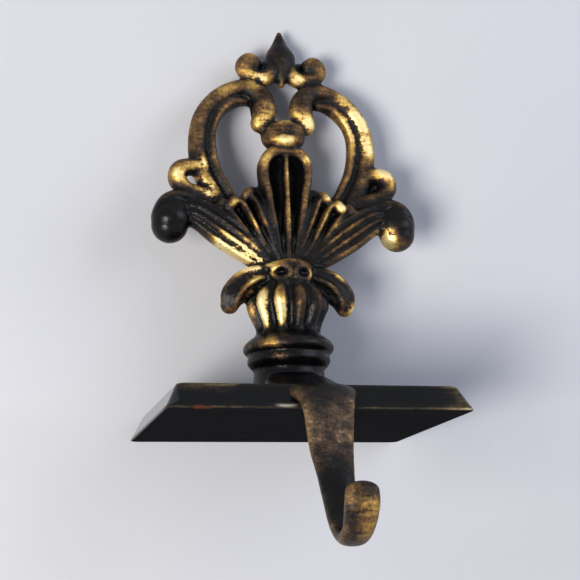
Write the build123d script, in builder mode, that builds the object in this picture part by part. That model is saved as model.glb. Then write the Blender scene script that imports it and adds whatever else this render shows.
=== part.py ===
from build123d import *
from math import atan2, degrees
import os

# Mantel stocking hook, cast in one piece: a bevelled foot plate stands on the shelf,
# a round stem with an open scroll and leaf ornament rises from it, and a flat arm
# runs over the front edge and ends in an upturned hook below the shelf.
# Millimetres. +Z is up and the front faces -Y. The origin is the middle of the
# plate's underside, the flat that rests on the shelf.

# Foot plate
plate_width = 110.0
plate_depth = 88.0
plate_height = 9.5
plate_bevel = 4.2
plate_corner = 2.6
plate_edge = 0.7

# Stem, turned about a vertical axis a little behind the middle of the plate
stem_y = 4.0
foot_radius = 16.5
neck_radius = 13.0
lower_ring_radius = 15.8
flange_radius = 17.2
flange_height = 30.2
flange_round = 3.4
throat_radius = 11.6
whorl_radius = 15.4
waist_radius = 9.2
waist_height = 58.0
flute_count = 12
flute_radius = 1.5

# Ornament, flat from side to side in the plane of the stem's axis. Each rise is
# measured from the form below it, so that what stands on a form moves with it.
ornament_thickness = 9.0
web_thickness = 5.0
ball_rise = 21.3
tablet_rise = 52.5
bead_rise = 3.9
crown_rise = 17.8
spike_rise = 27.8
spike_radius = 5.4
scroll_reach = 32.2
scroll_width = 9.4
scroll_channel = 1.5
ear_reach = 42.6
ear_radius = 2.9
volute_reach = 15.4
volute_radius = 2.7
bead_radius = 6.9
tablet_half_width = 10.5
tablet_rim = 3.4
tablet_recess = 2.6
ball_reach = 45.2
ball_half_width = 7.5
ball_half_height = 9.7
leaf_lobe_radius = 3.0
leaf_lobe_spacing = 3.7
curl_reach = 23.2
curl_drop = 14.6
curl_radius = 4.4

# Arm and hook
arm_thickness = 6.0
arm_root_width = 26.6
arm_bend_width = 17.4
arm_neck_width = 12.0
hook_tip_width = 12.4
hook_reach = 81.3
hook_drop = 44.6
hook_tip_drop = 30.2
arm_corner = 1.4

plate_front = -plate_depth / 2
ornament_front = stem_y - ornament_thickness / 2
ornament_back = stem_y + ornament_thickness / 2
flange_top = flange_height + flange_round
ball_height = waist_height + ball_rise
tablet_top = waist_height + tablet_rise
bead_height = tablet_top + bead_rise
scroll_crown = bead_height + crown_rise
ornament_height = scroll_crown + spike_rise


def ornament_point(x, z):
    """A point of the ornament's middle plane, given from the axis and the underside."""
    return Vector(x, stem_y, z)


def level(share, low, high):
    """A height at a share of the way from one height to another."""
    return low + share * (high - low)


def between(values, place):
    """Reads a list of sizes at a place from 0, its start, to 1, its end."""
    position = place * (len(values) - 1)
    lower = min(int(position), len(values) - 2)
    return values[lower] + (position - lower) * (values[lower + 1] - values[lower])


def round_limb(route, radii, spans=6, flatness=1.0):
    """Joins round sections, set square to a smooth curve, into one tapering limb."""
    with BuildPart() as limb:
        with BuildLine():
            line = Spline(*route)
        for index in range(spans + 1):
            place = index / spans
            radius = between(radii, place)
            with BuildSketch(Plane(line @ place, x_dir=(0, 1, 0), z_dir=line % place)):
                Ellipse(radius * flatness, radius)
        loft(ruled=True)
    return limb.part


def fluted_leaf(route, lobes, shares, spans=6):
    """Joins sections made of round lobes side by side into one fluted leaf."""
    with BuildPart() as leaf:
        with BuildLine():
            line = Spline(*route)
        for index in range(spans + 1):
            place = index / spans
            share = between(shares, place)
            with BuildSketch(Plane(line @ place, x_dir=(0, 1, 0), z_dir=line % place)):
                with GridLocations(0, share * leaf_lobe_spacing, 1, lobes):
                    Circle(share * leaf_lobe_radius)
        loft(ruled=True)
    return leaf.part


# The foot plate: bevelled on all four sides, with softened cast edges.
with BuildPart() as plate:
    with BuildSketch(Plane.XY):
        RectangleRounded(plate_width, plate_depth, plate_corner)
    extrude(amount=plate_height, taper=degrees(atan2(plate_bevel, plate_height)))
    chamfer(plate.faces().sort_by(Axis.Z)[-1].edges(), plate_edge)
    chamfer(plate.faces().sort_by(Axis.Z)[0].edges(), 0.5 * plate_edge)

# The stem: a flared foot, two rings, a throat and a fluted whorl under the waist.
with BuildPart() as stem:
    with BuildSketch(Plane.XZ.offset(-stem_y)):
        with BuildLine():
            foot = Line((0, plate_height / 2), (foot_radius, plate_height / 2))
            flare = Polyline(
                foot @ 1,
                (foot_radius, level(0.03, plate_height, flange_height)),
                (level(0.60, neck_radius, foot_radius), level(0.19, plate_height, flange_height)),
                (level(0.10, neck_radius, foot_radius), level(0.42, plate_height, flange_height)),
                (neck_radius, level(0.63, plate_height, flange_height)),
                (level(0.60, neck_radius, lower_ring_radius), level(0.70, plate_height, flange_height)),
                (lower_ring_radius, level(0.77, plate_height, flange_height)),
                (lower_ring_radius - 0.9, flange_height - flange_round),
            )
            torus = ThreePointArc(
                flare @ 1,
                (flange_radius, flange_height),
                (flange_radius - 2.4, flange_top),
            )
            whorl = Polyline(
                torus @ 1,
                (throat_radius, level(0.07, flange_top, waist_height)),
                (throat_radius + 0.6, level(0.20, flange_top, waist_height)),
                (whorl_radius - 0.6, level(0.36, flange_top, waist_height)),
                (whorl_radius, level(0.47, flange_top, waist_height)),
                (whorl_radius - 1.6, level(0.63, flange_top, waist_height)),
                (waist_radius - 0.8, level(0.77, flange_top, waist_height)),
                (waist_radius, level(0.89, flange_top, waist_height)),
                (waist_radius, level(0.04, waist_height, tablet_top)),
                (waist_radius - 1.6, level(0.10, waist_height, tablet_top)),
                (0, level(0.15, waist_height, tablet_top)),
            )
            Line(whorl @ 1, foot @ 0)
        make_face()
    revolve(axis=Axis(origin=(0, stem_y, 0), direction=(0, 0, 1)))

# One flute of the whorl, a round groove that follows the whorl's outline.
with BuildPart() as flute:
    for groove_radius, groove_height in (
        (throat_radius + 1.6, level(0.12, flange_top, waist_height)),
        (throat_radius + 1.5, level(0.17, flange_top, waist_height)),
        (whorl_radius + 0.4, level(0.40, flange_top, waist_height)),
        (whorl_radius - 0.7, level(0.64, flange_top, waist_height)),
    ):
        with BuildSketch(Plane((groove_radius, 0, groove_height))):
            Circle(flute_radius)
    loft(ruled=True)

with BuildPart() as fluted_stem:
    add(stem.part)
    with Locations((0, stem_y, 0)):
        with PolarLocations(0, flute_count):
            add(flute.part, mode=Mode.SUBTRACT)

# The arm: a strap from the stem over the front edge of the plate, turned up into a
# hook. Its side outline is cut to the front outline, which narrows downward.
tip_back = -hook_reach + arm_thickness / 2
tip_front = -hook_reach - arm_thickness / 2
hook_middle = (plate_front - 14.0 + tip_back) / 2
with BuildPart() as arm:
    with BuildSketch(Plane.YZ.offset(-0.6 * arm_root_width)):
        with BuildLine():
            over = Spline(
                (stem_y - 8.0, plate_height + 11.0),
                (0.38 * plate_front, plate_height + 5.6),
                (0.66 * plate_front, plate_height + 2.2),
                (plate_front + plate_bevel, plate_height + 1.0),
                (plate_front - 3.6, plate_height - 2.8),
                (plate_front - arm_thickness, 0),
                (plate_front - arm_thickness - 1.8, -0.3 * hook_drop),
                (plate_front - arm_thickness - 6.0, -0.54 * hook_drop),
                (plate_front - arm_thickness - 10.0, -0.76 * hook_drop),
                (hook_middle, -hook_drop + 0.5 * arm_thickness),
                (tip_back - 0.4, -0.80 * hook_drop),
                (tip_back, -hook_tip_drop),
            )
            tip = ThreePointArc(over @ 1, (-hook_reach, -hook_tip_drop + 3.4), (tip_front, -hook_tip_drop))
            under = Spline(
                tip @ 1,
                (tip_front, -0.82 * hook_drop),
                (0.95 * hook_reach * -1, -hook_drop - 0.1 * arm_thickness),
                (hook_middle - 0.5, -hook_drop - 0.5 * arm_thickness),
                (plate_front - 15.5, -0.93 * hook_drop),
                (plate_front - 9.4, -0.72 * hook_drop),
                (plate_front - 5.6, -0.50 * hook_drop),
                (plate_front - 2.4, -0.26 * hook_drop),
                (plate_front - 0.6, -2.4),
                (plate_front + 3.0, 0.45 * plate_height),
            )
            root = Line(under @ 1, (stem_y, 0.45 * plate_height))
            riser = Line(root @ 1, (stem_y, plate_height + 11.0))
            Line(riser @ 1, over @ 0)
        make_face()
    extrude(amount=1.2 * arm_root_width)
    with BuildSketch(Plane.XZ.offset(hook_reach + arm_thickness)):
        with BuildLine():
            top = Line((0, plate_height + 14.0), (0.56 * arm_root_width, plate_height + 14.0))
            edge = Spline(
                top @ 1,
                (0.5 * arm_root_width, plate_height),
                (0.5 * arm_bend_width, 0),
                (0.44 * arm_bend_width, -0.3 * hook_drop),
                (0.5 * arm_neck_width, -0.56 * hook_drop),
                (0.48 * arm_neck_width, -0.8 * hook_drop),
                (0.45 * arm_neck_width, -hook_drop - arm_thickness),
            )
            bottom = Line(edge @ 1, (0, -hook_drop - arm_thickness))
            Line(bottom @ 1, top @ 0)
        make_face()
        mirror(about=Plane.YZ)
    extrude(amount=-hook_reach - arm_thickness - stem_y, mode=Mode.INTERSECT)
    outline_edges = arm.edges().filter_by(lambda e: abs(e.center().X) > 2 and e.center().Y < plate_front)
    chamfer(outline_edges, arm_corner)
    with BuildSketch(Plane.XZ.offset(hook_reach + arm_thickness)):
        with Locations((0, -hook_tip_drop + 3.6)):
            Rectangle(1.4 * arm_root_width, 0.9 * hook_tip_width)
        with Locations((0, -hook_tip_drop + 3.6 - 0.5 * hook_tip_width)):
            Circle(0.5 * hook_tip_width, mode=Mode.SUBTRACT)
            with Locations((0, -0.5 * hook_tip_width)):
                Rectangle(hook_tip_width, hook_tip_width, mode=Mode.SUBTRACT)
    extrude(amount=-2.5 * arm_thickness, mode=Mode.SUBTRACT)

# The big scroll of one side: a band from its curled inner end over the crown and
# down to the fan, with a channel along its front.
scroll_route = [
    ornament_point(1.20 * bead_radius, level(0.17, bead_height, scroll_crown)),
    ornament_point(1.17 * bead_radius, level(0.39, bead_height, scroll_crown)),
    ornament_point(1.06 * bead_radius, level(0.65, bead_height, scroll_crown)),
    ornament_point(0.34 * scroll_reach, level(0.955, bead_height, scroll_crown)),
    ornament_point(0.55 * scroll_reach, scroll_crown),
    ornament_point(0.80 * scroll_reach, level(0.933, waist_height, scroll_crown)),
    ornament_point(0.955 * scroll_reach, level(0.829, waist_height, scroll_crown)),
    ornament_point(scroll_reach, level(0.697, waist_height, scroll_crown)),
    ornament_point(0.94 * scroll_reach, level(0.555, waist_height, scroll_crown)),
    ornament_point(0.80 * scroll_reach, level(0.42, waist_height, scroll_crown)),
    ornament_point(0.56 * scroll_reach, level(0.27, waist_height, scroll_crown)),
    ornament_point(0.2 * scroll_reach, level(0.08, waist_height, scroll_crown)),
]
scroll_spans = 15
scroll_sizes = [0.66, 0.98] + 9 * [1.0]
with BuildPart() as scroll:
    with BuildLine():
        band = Spline(*scroll_route)
    for index in range(scroll_spans + 1):
        place = index / scroll_spans
        share = between(scroll_sizes, place)
        with BuildSketch(Plane(band @ place, x_dir=(0, 1, 0), z_dir=band % place)):
            Ellipse(share * ornament_thickness / 2, share * scroll_width / 2)
            with Locations((-share * ornament_thickness / 2, -0.12 * share * scroll_width)):
                Circle(scroll_channel, mode=Mode.SUBTRACT)
    loft(ruled=True)

# The ear outside the scroll's foot, which leaves the band and comes back to it.
ear = round_limb(
    [
        ornament_point(0.64 * ear_reach, level(0.414, waist_height, scroll_crown)),
        ornament_point(0.82 * ear_reach, level(0.438, waist_height, scroll_crown)),
        ornament_point(0.95 * ear_reach, level(0.465, waist_height, scroll_crown)),
        ornament_point(ear_reach, level(0.519, waist_height, scroll_crown)),
        ornament_point(0.94 * ear_reach, level(0.570, waist_height, scroll_crown)),
        ornament_point(0.76 * ear_reach, level(0.584, waist_height, scroll_crown)),
    ],
    [1.1 * ear_radius, ear_radius, ear_radius],
    spans=8,
)

# The small volute beside the spike.
volute = round_limb(
    [
        ornament_point(0.20 * volute_reach, level(0.55, scroll_crown, ornament_height)),
        ornament_point(0.19 * volute_reach, level(0.38, scroll_crown, ornament_height)),
        ornament_point(0.38 * volute_reach, level(0.25, scroll_crown, ornament_height)),
        ornament_point(0.70 * volute_reach, level(0.215, scroll_crown, ornament_height)),
        ornament_point(0.97 * volute_reach, level(0.30, scroll_crown, ornament_height)),
        ornament_point(volute_reach, level(0.42, scroll_crown, ornament_height)),
        ornament_point(0.82 * volute_reach, level(0.465, scroll_crown, ornament_height)),
    ],
    [0.9 * volute_radius, volute_radius, volute_radius, volute_radius, 1.1 * volute_radius, 0.5 * volute_radius],
    spans=10,
)

# The fan: one outer leaf with three flutes and one inner leaf with two on each side.
outer_leaf = fluted_leaf(
    [
        ornament_point(0.75 * waist_radius, level(0.07, waist_height, ball_height)),
        ornament_point(0.30 * ball_reach, level(0.41, waist_height, ball_height)),
        ornament_point(0.55 * ball_reach, level(0.84, waist_height, ball_height)),
        ornament_point(0.80 * ball_reach, ball_height + 0.35 * ball_half_height),
        ornament_point(0.98 * ball_reach, ball_height + 0.41 * ball_half_height),
    ],
    lobes=3,
    shares=[0.62, 0.92, 1.0, 1.0, 0.9],
)
inner_leaf = fluted_leaf(
    [
        ornament_point(0.42 * waist_radius, level(0.06, waist_height, tablet_top)),
        ornament_point(0.78 * tablet_half_width, level(0.25, waist_height, tablet_top)),
        ornament_point(1.2 * tablet_half_width, level(0.42, waist_height, tablet_top)),
        ornament_point(1.75 * tablet_half_width, level(0.59, waist_height, tablet_top)),
    ],
    lobes=2,
    shares=[0.7, 1.0, 1.15, 0.8],
)

# The rolled leaf end that hangs outside the fan.
rolled_end = round_limb(
    [
        ornament_point(ball_reach - 0.35 * ball_half_width, ball_height + 0.92 * ball_half_height),
        ornament_point(ball_reach - 0.08 * ball_half_width, ball_height + 0.5 * ball_half_height),
        ornament_point(ball_reach, ball_height),
        ornament_point(ball_reach + 0.05 * ball_half_width, ball_height - 0.55 * ball_half_height),
        ornament_point(ball_reach + 0.05 * ball_half_width, ball_height - ball_half_height),
    ],
    [0.45 * ball_half_width, 0.92 * ball_half_width, ball_half_width, 0.84 * ball_half_width, 0.3 * ball_half_width],
)

# The leaf that droops beside the whorl.
curl = round_limb(
    [
        ornament_point(0.6 * waist_radius, waist_height - 0.07 * curl_drop),
        ornament_point(0.62 * curl_reach, waist_height - 0.13 * curl_drop),
        ornament_point(0.86 * curl_reach, waist_height - 0.37 * curl_drop),
        ornament_point(0.98 * curl_reach, waist_height - 0.70 * curl_drop),
        ornament_point(1.06 * curl_reach, waist_height - curl_drop),
    ],
    [0.73 * curl_radius, 0.98 * curl_radius, curl_radius, 0.80 * curl_radius, 0.20 * curl_radius],
    spans=8,
)

with BuildPart() as side:
    for piece in (scroll.part, ear, volute, rolled_end, curl, outer_leaf, inner_leaf):
        add(piece)

# The web behind the fan closes it between the ridges.
with BuildPart() as web:
    with BuildSketch(Plane.XZ.offset(-stem_y)):
        with BuildLine():
            Polyline(
                (0, level(0.1, waist_height, ball_height)),
                (waist_radius, level(0.1, waist_height, ball_height)),
                (0.56 * ball_reach, level(0.62, waist_height, ball_height)),
                (0.72 * ball_reach, level(0.30, waist_height, scroll_crown)),
                (0.60 * ball_reach, level(0.45, waist_height, scroll_crown)),
                (0.40 * ball_reach, level(0.475, waist_height, scroll_crown)),
                (0, level(0.49, waist_height, scroll_crown)),
                close=True,
            )
        make_face()
        mirror(about=Plane.YZ)
    extrude(amount=web_thickness / 2, both=True)

# The arched tablet in the middle, with two sunk panels and a rib between them.
with BuildPart() as tablet:
    with BuildSketch(Plane.XZ.offset(-ornament_back + 1.5)):
        with BuildLine():
            side_line = Polyline(
                (0.45 * tablet_half_width, level(0.08, waist_height, tablet_top)),
                (0.76 * tablet_half_width, level(0.52, waist_height, tablet_top)),
                (tablet_half_width, tablet_top - 0.9 * tablet_half_width),
            )
            arch = ThreePointArc(
                side_line @ 1,
                (0.74 * tablet_half_width, tablet_top - 0.25 * tablet_half_width),
                (0, tablet_top),
            )
            axis_line = Line(arch @ 1, (0, level(0.08, waist_height, tablet_top)))
            Line(axis_line @ 1, side_line @ 0)
        make_face()
        mirror(about=Plane.YZ)
    extrude(amount=ornament_thickness + 0.5)
    chamfer(tablet.faces().sort_by(Axis.Y)[0].edges().filter_by(GeomType.CIRCLE), 1.2)
    with BuildSketch(Plane.XZ.offset(-ornament_front + 2.0)):
        with BuildLine():
            recess_side = Polyline(
                (0.14 * tablet_half_width, level(0.495, waist_height, tablet_top)),
                (0.76 * tablet_half_width - tablet_rim, level(0.52, waist_height, tablet_top)),
                (tablet_half_width - tablet_rim, tablet_top - 0.9 * tablet_half_width),
            )
            recess_arch = ThreePointArc(
                recess_side @ 1,
                (0.48 * tablet_half_width, tablet_top - tablet_rim - 2.6),
                (0.14 * tablet_half_width, tablet_top - tablet_rim - 2.2),
            )
            Line(recess_arch @ 1, recess_side @ 0)
        make_face()
        mirror(about=Plane.YZ)
    extrude(amount=-tablet_recess - 1.0, mode=Mode.SUBTRACT)

# The bead over the tablet and the spike at the top.
with BuildPart() as bead:
    with Locations(ornament_point(0, bead_height)):
        Sphere(bead_radius)
spike = round_limb(
    [
        ornament_point(0, level(0.21, scroll_crown, ornament_height)),
        ornament_point(0, level(0.41, scroll_crown, ornament_height)),
        ornament_point(0, level(0.60, scroll_crown, ornament_height)),
        ornament_point(0, level(0.82, scroll_crown, ornament_height)),
        ornament_point(0, ornament_height),
    ],
    [0.33 * spike_radius, 0.89 * spike_radius, spike_radius, 0.57 * spike_radius, 0.15 * spike_radius],
    spans=8,
)

with BuildPart() as casting:
    add(plate.part)
    add(fluted_stem.part)
    add(arm.part)
    add(web.part)
    add(side.part)
    add(mirror(side.part, about=Plane.YZ, mode=Mode.PRIVATE))
    add(tablet.part)
    add(bead.part)
    add(spike)

os.makedirs("parts", exist_ok=True)
casting.part.label = "casting"
export_step(casting.part, "parts/casting.step")
print("solids", len(casting.part.solids()), "volume", casting.part.volume, casting.part.bounding_box())
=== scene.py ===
"""Dresses the cast mantel stocking hook: a worn black and gold finish over a melted cast form.

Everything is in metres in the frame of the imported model: +Z up, the front at -Y,
the origin in the middle of the foot plate's underside.
"""
import math

import bpy
import numpy as np
from mathutils import Matrix, Vector


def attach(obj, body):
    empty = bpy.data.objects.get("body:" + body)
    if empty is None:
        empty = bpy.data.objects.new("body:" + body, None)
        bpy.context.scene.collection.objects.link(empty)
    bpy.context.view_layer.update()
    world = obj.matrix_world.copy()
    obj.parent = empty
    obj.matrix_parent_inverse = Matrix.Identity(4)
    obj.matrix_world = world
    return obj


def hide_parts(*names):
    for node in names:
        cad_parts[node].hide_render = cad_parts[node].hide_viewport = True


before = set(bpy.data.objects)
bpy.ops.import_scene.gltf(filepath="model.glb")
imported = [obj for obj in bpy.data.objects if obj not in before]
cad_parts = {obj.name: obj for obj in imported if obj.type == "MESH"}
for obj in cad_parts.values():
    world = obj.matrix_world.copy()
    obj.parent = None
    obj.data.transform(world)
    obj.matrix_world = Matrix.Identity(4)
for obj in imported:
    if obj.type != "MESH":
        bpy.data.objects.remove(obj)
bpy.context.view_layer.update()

bl_info = {
    "name": "Cast Stocking Hook Finish",
    "version": (1, 0, 0),
    "blender": (4, 5, 0),
    "location": "3D View > Sidebar > Stocking Hook",
    "description": "Builds the cast ornament, stem, arm and foot plate and their worn finish",
    "category": "Object",
}

MM = 0.001
CASTING = "casting"

# Places and sizes in millimetres, and counts
STEM_Y = 4.0
PLATE_TOP = 9.5
PLATE_HALF_WIDTH, PLATE_HALF_DEPTH, PLATE_CORNER = 54.95, 43.95, 2.6
PLATE_ROWS, POINTS_PER_SIDE, POINTS_PER_CORNER = 150, 90, 8
PLATE_FRONT = -36.0
CAP_RINGS = 7
SMOOTHING_ROUNDS = 2
PROUD_ROUNDS, PROUD_REACH = 60, 1.1


# Shape helpers. Lengths are in millimetres until the mesh is made.

def curve_through(points, count):
    """Catmull-Rom curve through the points, read at `count` even steps of its parameter.

    Between points p1 and p2 the curve is 0.5 * (2 p1 + (p2 - p0) t + (2 p0 - 5 p1 +
    4 p2 - p3) t^2 + (3 p1 - p0 - 3 p2 + p3) t^3), with the end points repeated by
    reflection.
    """
    p = np.asarray(points, dtype=float)
    p = np.vstack([2 * p[0] - p[1], p, 2 * p[-1] - p[-2]])
    u = np.linspace(0, len(p) - 3, count)
    i = np.minimum(u.astype(int), len(p) - 4)
    t = (u - i)[:, None]
    a, b, c, d = p[i], p[i + 1], p[i + 2], p[i + 3]
    return 0.5 * (2 * b + (c - a) * t + (2 * a - 5 * b + 4 * c - d) * t**2
                  + (3 * b - a - 3 * c + d) * t**3)


def spread(values, count):
    """Stretches a short list of sizes evenly over `count` stations with a smooth curve."""
    values = np.atleast_1d(np.asarray(values, dtype=float))
    if len(values) == 1:
        return np.full(count, values[0])
    return curve_through(values[:, None], count)[:, 0]


def limb(points, widths, depths, rings=48, around=24, power=2.0, side=(0.0, 1.0, 0.0)):
    """A closed limb: superellipse sections set square to a curve, with rounded ends.

    At station s the section is centre + w sgn(cos a)|cos a|^(2/n) N + d sgn(sin a)
    |sin a|^(2/n) B, where N lies in the ornament's plane, B is the side direction and
    n is `power`. Both half sizes fall to nothing over the last rings as the square
    root of the distance from the end, which closes the ends as domes.
    """
    centre = curve_through(points, rings)
    w = spread(widths, rings)
    d = spread(depths, rings)
    tangent = np.gradient(centre, axis=0)
    tangent /= np.linalg.norm(tangent, axis=1)[:, None]
    b = np.tile(np.asarray(side, dtype=float), (rings, 1))
    n = np.cross(b, tangent)
    n /= np.linalg.norm(n, axis=1)[:, None]
    b = np.cross(tangent, n)
    share = np.cos(np.linspace(0, math.pi / 2, CAP_RINGS + 1))[1:][::-1]
    start_c = centre[0] - tangent[0] * (w[0] * np.cos(np.arcsin(share)))[:, None]
    end_c = centre[-1] + tangent[-1] * (w[-1] * np.cos(np.arcsin(share[::-1])))[:, None]
    centre = np.vstack([start_c, centre, end_c])
    w = np.concatenate([w[0] * share, w, w[-1] * share[::-1]])
    d = np.concatenate([d[0] * share, d, d[-1] * share[::-1]])
    n = np.vstack([np.tile(n[0], (CAP_RINGS, 1)), n, np.tile(n[-1], (CAP_RINGS, 1))])
    b = np.vstack([np.tile(b[0], (CAP_RINGS, 1)), b, np.tile(b[-1], (CAP_RINGS, 1))])
    a = np.linspace(0, 2 * math.pi, around, endpoint=False)
    ca = np.sign(np.cos(a)) * np.abs(np.cos(a)) ** (2 / power)
    sa = np.sign(np.sin(a)) * np.abs(np.sin(a)) ** (2 / power)
    grid = (centre[:, None, :] + (w[:, None] * ca)[..., None] * n[:, None, :]
            + (d[:, None] * sa)[..., None] * b[:, None, :])
    return close_grid(grid)


def close_grid(grid):
    """Turns a grid of rings into vertices and faces, with a pole at each end."""
    rows, around, _ = grid.shape
    verts = np.vstack([grid.reshape(-1, 3), grid[0].mean(axis=0), grid[-1].mean(axis=0)])
    r = np.arange(rows - 1)[:, None] * around
    c = np.arange(around)[None, :]
    nxt = (c + 1) % around
    quads = np.stack([r + c, r + nxt, r + around + nxt, r + around + c], axis=-1).reshape(-1, 4)
    c = np.arange(around)
    nxt = (c + 1) % around
    first, last = rows * around, rows * around + 1
    base = (rows - 1) * around
    start = np.stack([np.full(around, first), nxt, c], axis=-1)
    end = np.stack([np.full(around, last), base + c, base + nxt], axis=-1)
    return verts, quads, np.vstack([start, end])


def turned(profile, flutes=None, around=160):
    """A turned form about the stem's axis: radius and height along the profile.

    The radius at angle a is r (1 - g |cos(m a / 2)|^3), where g is the flute's depth
    share at that height and m the number of flutes.
    """
    profile = np.asarray(profile, dtype=float)
    a = np.linspace(0, 2 * math.pi, around, endpoint=False)
    r = profile[:, 0][:, None] * np.ones(around)
    z = profile[:, 1][:, None] * np.ones(around)
    if flutes is not None:
        count, low, high, depth = flutes
        share = np.clip((z - low) / 3.0, 0, 1) * np.clip((high - z) / 3.0, 0, 1)
        r = r * (1 - depth * share * np.abs(np.cos(count * a / 2)) ** 3)
    grid = np.stack([r * np.cos(a), STEM_Y + r * np.sin(a), z], axis=-1)
    return close_grid(grid)


def mirrored(shape):
    """The same closed form on the other side of the stem, with its faces turned over."""
    verts, quads, tris = shape
    return verts * np.array([-1.0, 1.0, 1.0]), quads[:, ::-1], tris[:, ::-1]


def joined(shapes):
    """Stacks closed forms into one list of vertices and faces."""
    verts, faces, total = [], [], 0
    for v, quads, tris in shapes:
        verts.append(v)
        faces += (quads + total).tolist() + (tris + total).tolist()
        total += len(v)
    return np.vstack(verts), faces


def new_object(name, verts, faces):
    """Makes a mesh object at the origin from millimetre vertices."""
    if len(verts) == 0 or len(faces) == 0:
        raise RuntimeError(name + " has no surface")
    mesh = bpy.data.meshes.new(name)
    mesh.from_pydata((np.asarray(verts) * MM).tolist(), [], faces)
    mesh.update()
    made = bpy.data.objects.new(name, mesh)
    bpy.context.scene.collection.objects.link(made)
    return made


def melted(name, shapes, voxel):
    """Melts overlapping closed forms into one skin, as the metal filled one mould."""
    verts, faces = joined(shapes)
    rough = new_object(name + "_forms", verts, faces)
    modifier = rough.modifiers.new("melt", "REMESH")
    modifier.mode = "VOXEL"
    modifier.voxel_size = voxel
    modifier.adaptivity = 0.0
    modifier.use_smooth_shade = True
    graph = bpy.context.evaluated_depsgraph_get()
    mesh = bpy.data.meshes.new_from_object(rough.evaluated_get(graph))
    if not mesh.polygons:
        raise RuntimeError(name + " melted to nothing")
    old = rough.data
    bpy.data.objects.remove(rough)
    bpy.data.meshes.remove(old)
    made = bpy.data.objects.new(name, mesh)
    bpy.context.scene.collection.objects.link(made)
    return made


def coordinates(mesh):
    """Vertex places in millimetres, as one array."""
    flat = np.empty(len(mesh.vertices) * 3)
    mesh.vertices.foreach_get("co", flat)
    return flat.reshape(-1, 3) / MM


def vertex_normals(mesh):
    """Vertex normals, as one array."""
    flat = np.empty(len(mesh.vertices) * 3)
    mesh.vertices.foreach_get("normal", flat)
    return flat.reshape(-1, 3)


def edge_pairs(mesh):
    """The two vertices of each edge, as one array."""
    flat = np.empty(len(mesh.edges) * 2, dtype=np.int32)
    mesh.edges.foreach_get("vertices", flat)
    return flat.reshape(-1, 2)


def averaged(values, pairs, count, share=0.5):
    """Moves each vertex value towards the mean of its neighbours, `count` times."""
    values = values.copy()
    number = len(values)
    degree = np.bincount(pairs.ravel(), minlength=number)[:, None]
    for _ in range(count):
        total = np.zeros_like(values)
        for axis in range(values.shape[1]):
            total[:, axis] = (np.bincount(pairs[:, 0], values[pairs[:, 1], axis], number)
                              + np.bincount(pairs[:, 1], values[pairs[:, 0], axis], number))
        values += share * (total / np.maximum(degree, 1) - values)
    return values


def write_places(mesh, places):
    """Writes millimetre places back to the mesh."""
    mesh.vertices.foreach_set("co", (places * MM).ravel())
    mesh.update()


def write_value(mesh, name, values):
    """Stores one number for each vertex under a name that the materials read."""
    layer = mesh.attributes.new(name, "FLOAT", "POINT")
    layer.data.foreach_set("value", np.asarray(values, dtype=np.float32))


def raised(mesh, rounds, reach):
    """How far each vertex stands proud of its smoothed surroundings, from 0 to 1.

    The mesh is averaged `rounds` times. The height is (place - smoothed place) . normal,
    divided by `reach` millimetres, with 0.5 for a flat stretch.
    """
    places = coordinates(mesh)
    smooth = averaged(places, edge_pairs(mesh), rounds)
    height = ((places - smooth) * vertex_normals(mesh)).sum(axis=1)
    return np.clip(0.5 + 0.5 * height / reach, 0, 1)


# The ornament's forms, in millimetres from the axis and the underside.

def flat_point(x, z, forward=0.0):
    """A point of the ornament, moved forward from its middle plane."""
    return (x, STEM_Y - forward, z)


def route(*places):
    """A route in the ornament's plane, from (x, z) or (x, z, forward) places."""
    return [flat_point(*place) for place in places]


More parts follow.
